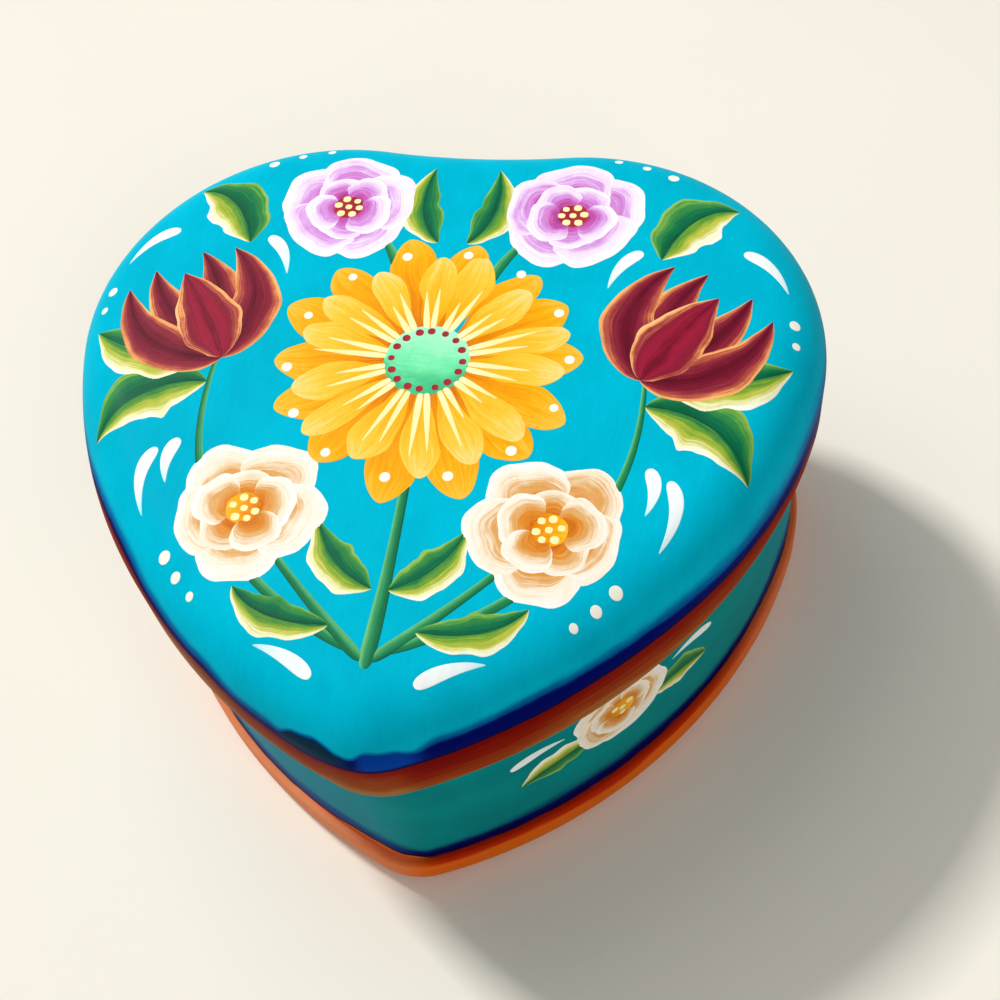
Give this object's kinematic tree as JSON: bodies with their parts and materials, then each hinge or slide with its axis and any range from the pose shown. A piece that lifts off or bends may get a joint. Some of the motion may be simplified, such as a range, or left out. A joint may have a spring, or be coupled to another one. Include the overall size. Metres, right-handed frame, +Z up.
{
  "type": "heart-shaped lidded box",
  "caption": "Heart-shaped painted wooden trinket box: a base board and wall ring closed by a thick, crowned lift-off lid that a plug keeps in place.",
  "frame": {"origin": "on the table, under the middle of the lid's outline", "axes": "+Z up, out of the lid; +Y towards the heart's notch; +X towards the right lobe seen from the tip"},
  "size_m": [0.1, 0.094, 0.0505],
  "materials": {
    "orange_band": "red-orange brushed paint under satin varnish, dark blue line at its upper edge",
    "turquoise_wall": "turquoise brushed paint under satin varnish",
    "painted_lid": "turquoise top shaded dark blue at the rim, red-orange edge band, hand-painted flower spray, satin varnish",
    "bare_wood": "unpainted sanded wood"
  },
  "bodies": {
    "box": {"base_board": "orange_band", "box_wall": "turquoise_wall"},
    "lid": {"lid_board": "painted_lid", "lid_plug": "bare_wood"}
  },
  "joints": [
    {"name": "lid_lift", "type": "slide", "parent": "box", "child": "lid", "axis": [0, 0, 1], "range_m": [0, 0.06]}
  ]
}
